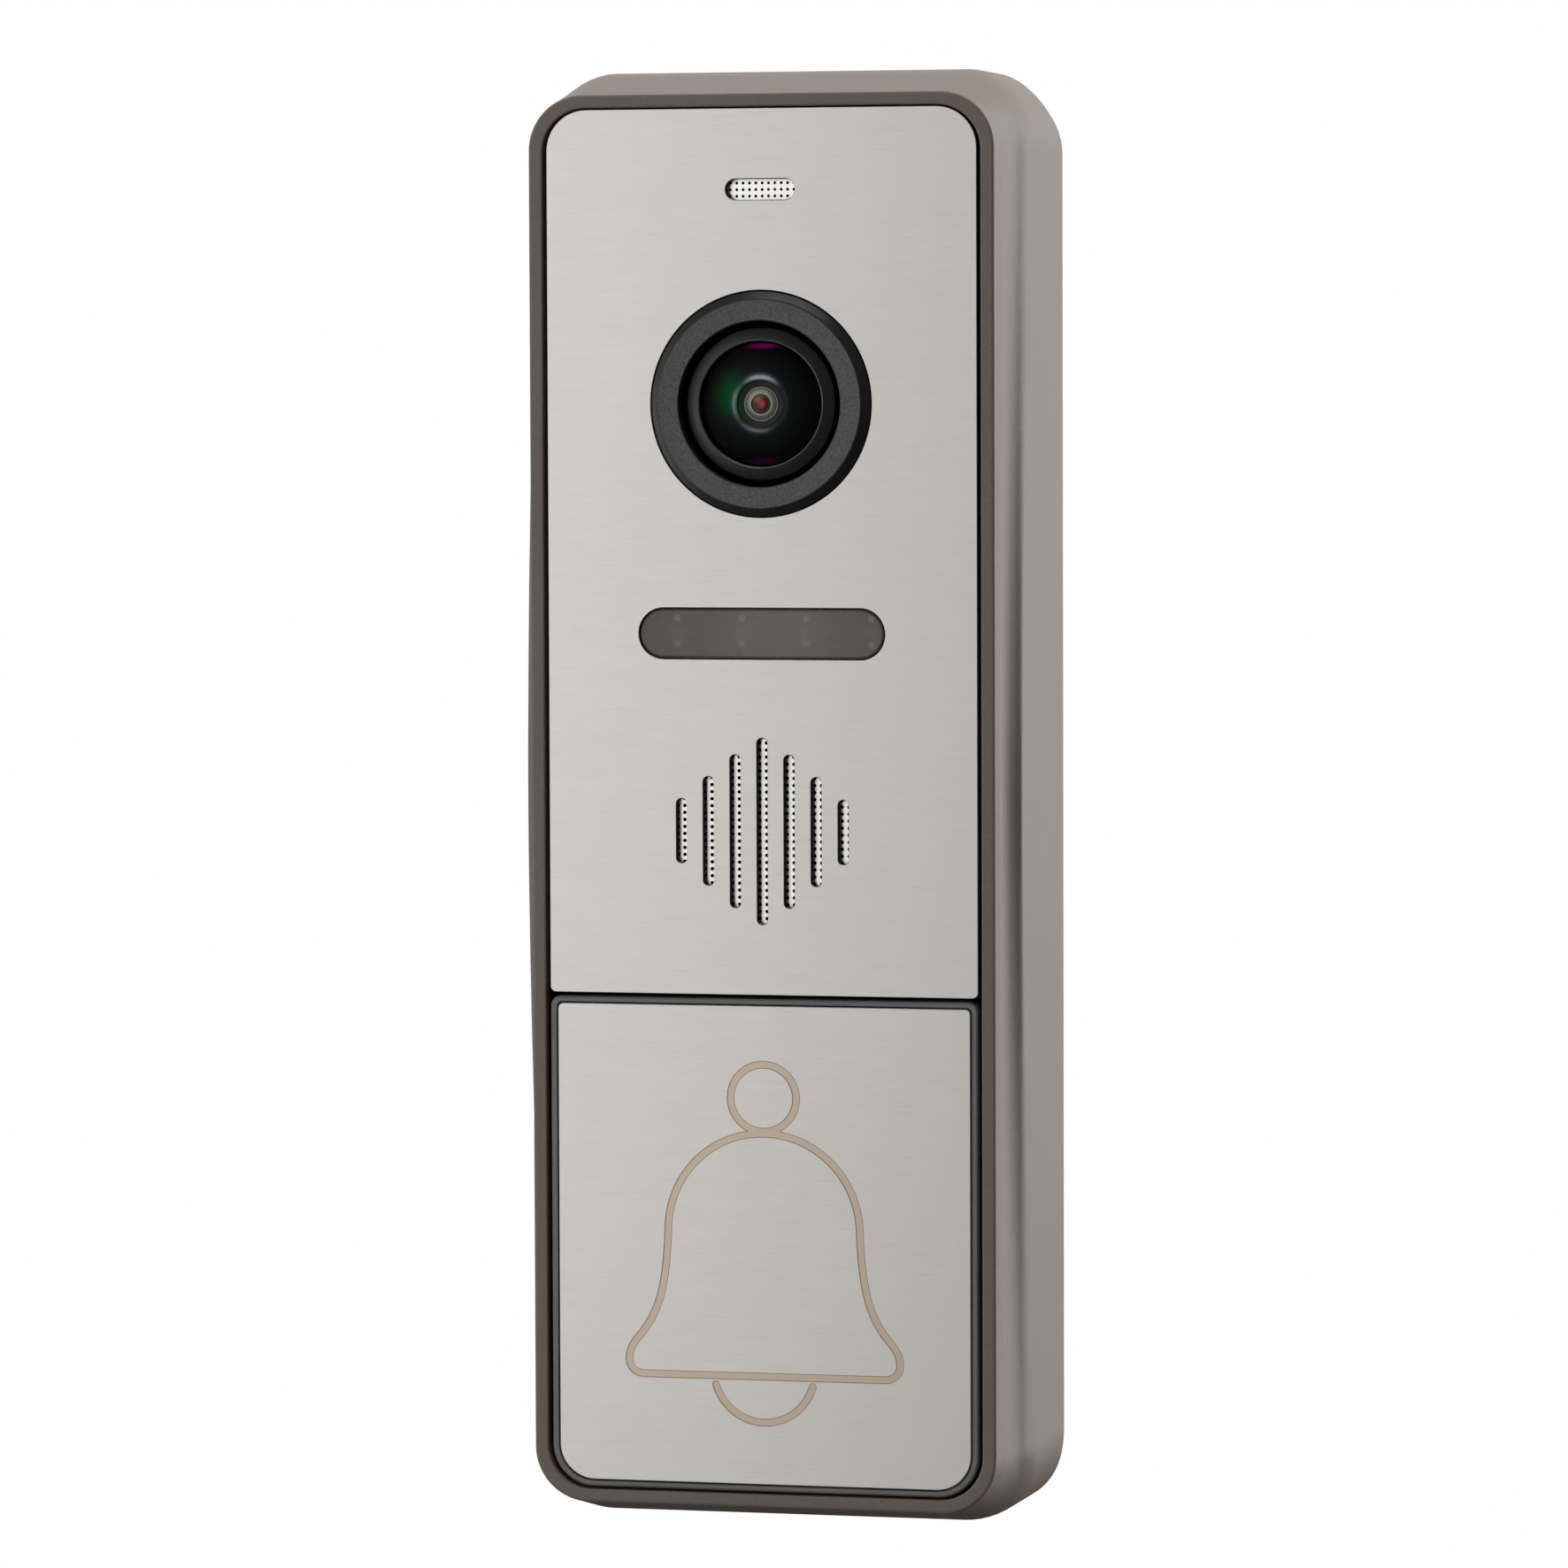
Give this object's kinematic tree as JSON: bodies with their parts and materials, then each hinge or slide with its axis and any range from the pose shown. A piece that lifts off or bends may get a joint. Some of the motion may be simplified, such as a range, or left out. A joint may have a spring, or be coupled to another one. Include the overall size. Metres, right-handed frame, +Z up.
{
  "type": "video doorbell",
  "caption": "Slim wall-mounted video doorbell: camera, lamp window, microphone and speaker in a steel plate above one large bell button, in a cast metal case.",
  "frame": {"origin": "centre of the wall face, on the wall plane", "axes": "+Z up, +Y into the wall, +X to the right seen from the front; the front faces -Y"},
  "size_m": [0.0456, 0.0233, 0.1298],
  "materials": {
    "cast_housing": "satin, finely speckled",
    "brushed_steel": "horizontal brushed grain",
    "textured_black_plastic": "fine moulded grain",
    "black_plastic": "matt",
    "anodised_black": "black anodised satin",
    "lens_glass": "coated, polished",
    "smoked_window": "smoked satin",
    "smoked_plastic": "dark moulded satin",
    "perforated_steel": "bright perforated sheet",
    "rubber": "matt",
    "circuit_board": "solder mask",
    "chip": "matt epoxy",
    "white_plastic": "matt",
    "lamp": "clear resin",
    "zinc": "zinc plated",
    "spring_steel": "drawn wire",
    "cone_paper": "pressed paper",
    "rear_plastic": "fine moulded texture",
    "bracket_steel": "zinc plated sheet"
  },
  "bodies": {
    "case": {"housing": "cast_housing", "front_frame": "black_plastic", "front_plate": "brushed_steel", "camera_bezel": "textured_black_plastic", "lens_barrel": "anodised_black", "front_lens": "lens_glass", "inner_lens": "lens_glass", "aperture_stop": "black_plastic", "rear_lens": "lens_glass", "lens_holder": "black_plastic", "ir_filter": "lens_glass", "image_sensor": "chip", "lamp_window": "smoked_window", "lamp_1": "lamp", "lamp_2": "lamp", "lamp_3": "lamp", "lamp_4": "lamp", "lamp_board": "circuit_board", "mic_mesh": "perforated_steel", "mic_boot": "rubber", "mic_capsule": "zinc", "speaker_mesh": "perforated_steel", "speaker_gasket": "rubber", "speaker_basket": "zinc", "speaker_cone": "cone_paper", "speaker_magnet": "zinc", "button_spring_left": "spring_steel", "button_spring_right": "spring_steel", "main_board": "circuit_board", "video_chip": "chip", "power_capacitor": "chip", "cable_header": "white_plastic", "board_screw_1": "zinc", "board_screw_2": "zinc", "board_screw_3": "zinc", "board_screw_4": "zinc", "switch_body": "chip", "trimmer_body": "white_plastic", "slide_switch_body": "chip", "rear_seal": "rubber", "rear_cover": "rear_plastic", "case_screw_1": "zinc", "case_screw_2": "zinc", "case_screw_3": "zinc", "case_screw_4": "zinc", "cable_grommet": "rubber", "wall_bracket": "bracket_steel", "locking_screw": "zinc"},
    "call_button": {"button_plate": "brushed_steel", "button_carrier": "smoked_plastic"},
    "switch_plunger": {"switch_plunger": "white_plastic"},
    "volume_rotor": {"trimmer_rotor": "zinc"},
    "format_lever": {"slide_switch_lever": "white_plastic"}
  },
  "joints": [
    {"name": "button_press", "type": "slide", "parent": "case", "child": "call_button", "axis": [0, 1, 0], "range_m": [0, 0.0008], "stiffness_N_per_m": 1800, "deforming": ["button_spring_left", "button_spring_right"]},
    {"name": "switch_press", "type": "slide", "parent": "case", "child": "switch_plunger", "axis": [0, 1, 0], "range_m": [0, 0.0008]},
    {"name": "volume_turn", "type": "hinge", "parent": "case", "child": "volume_rotor", "pos_m": [-0.006, -0.0038, 0.027], "axis": [0, 1, 0], "range_deg": [-135, 135]},
    {"name": "format_slide", "type": "slide", "parent": "case", "child": "format_lever", "axis": [1, 0, 0], "range_m": [0, 0.002]}
  ],
  "couplings": [
    {"joint": "switch_press", "follows": "button_press", "ratio": 1}
  ]
}
